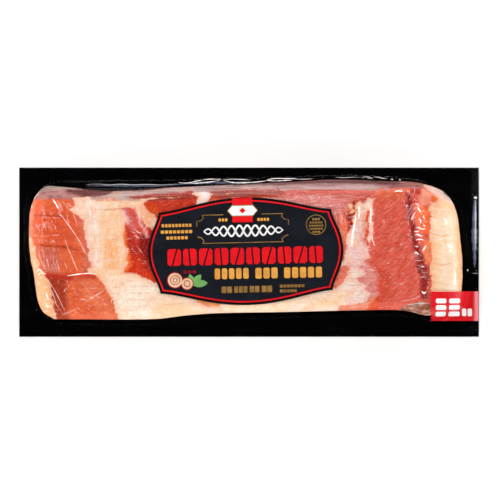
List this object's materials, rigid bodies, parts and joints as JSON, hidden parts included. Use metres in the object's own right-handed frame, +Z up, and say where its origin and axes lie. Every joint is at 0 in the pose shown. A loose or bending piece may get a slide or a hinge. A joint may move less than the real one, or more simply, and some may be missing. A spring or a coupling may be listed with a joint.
{
  "type": "bacon pack",
  "caption": "Long vacuum pack of sliced bacon: a flat black backing web, clear film over a leaning stack of slices, a shield-shaped label panel and a small corner tag.",
  "frame": {"origin": "middle of the underside of the backing web", "axes": "+X along the pack towards the tagged end, +Y across it towards the side where the broad face of the last slice shows, +Z up out of the printed face"},
  "size_m": [0.3, 0.1104, 0.0324],
  "materials": {
    "black_web": "glossy black film, smooth, with small creases",
    "bacon_under_film": "orange-red lean and cream fat under wrinkled glossy clear film",
    "label_print": "blue-black ink with red, gold and white simple shapes, satin",
    "tag_print": "flat red ink with plain white blocks, satin"
  },
  "bodies": {
    "root": {"backing_web": "black_web", "sealed_bacon": "bacon_under_film", "label_panel": "label_print", "tag_panel": "tag_print"}
  },
  "joints": []
}
